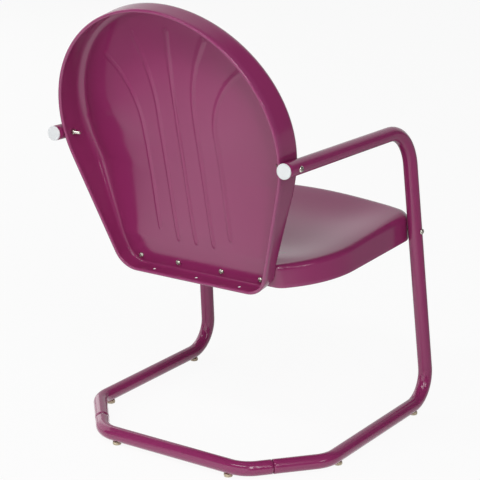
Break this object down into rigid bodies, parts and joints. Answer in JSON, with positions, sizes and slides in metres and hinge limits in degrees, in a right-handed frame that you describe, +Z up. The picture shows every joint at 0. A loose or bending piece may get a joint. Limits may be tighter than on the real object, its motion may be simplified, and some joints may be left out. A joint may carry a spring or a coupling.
{
  "type": "metal spring lawn chair",
  "caption": "Retro metal lawn chair: a rounded fan-ribbed back shell and a pressed seat on a sprung C-shaped tube frame that gives when sat on.",
  "frame": {"origin": "on the floor, midway between the two sides and between the front of the seat and the rear of the back", "axes": "+Z up, -Y the way the sitter faces, -X towards the sitter's right hand"},
  "size_m": [0.5698, 0.5758, 0.866],
  "materials": {
    "plum_coat": "gloss",
    "white_plastic": "satin",
    "cream_plastic": "satin",
    "bright_zinc": "zinc plated"
  },
  "bodies": {
    "base": {"right_side_tube": "plum_coat", "left_side_tube": "plum_coat", "rear_cross_tube": "plum_coat", "right_front_glide": "cream_plastic", "right_runner_glide": "cream_plastic", "right_rear_glide": "cream_plastic", "left_front_glide": "cream_plastic", "left_runner_glide": "cream_plastic", "left_rear_glide": "cream_plastic"},
    "seat_and_back": {"seat_pan": "plum_coat", "back_shell": "plum_coat", "right_arm_nut": "plum_coat", "left_arm_nut": "plum_coat", "right_arm_plug": "white_plastic", "left_arm_plug": "white_plastic", "right_arm_bolt": "bright_zinc", "left_arm_bolt": "bright_zinc", "right_seat_bolt": "bright_zinc", "left_seat_bolt": "bright_zinc", "right_seat_nut": "bright_zinc", "left_seat_nut": "bright_zinc", "back_bolt_1": "bright_zinc", "back_bolt_2": "bright_zinc", "back_bolt_3": "bright_zinc", "back_bolt_4": "bright_zinc", "back_nut_1": "bright_zinc", "back_nut_2": "bright_zinc", "back_nut_3": "bright_zinc", "back_nut_4": "bright_zinc"}
  },
  "joints": [
    {"name": "spring_give", "type": "hinge", "parent": "base", "child": "seat_and_back", "pos_m": [0, -0.2551, 0.15], "axis": [-1, 0, 0], "range_deg": [-1, 3], "stiffness_Nm_per_rad": 9000, "springref_deg": -0.14, "deforming": ["right_side_tube", "left_side_tube"]}
  ]
}
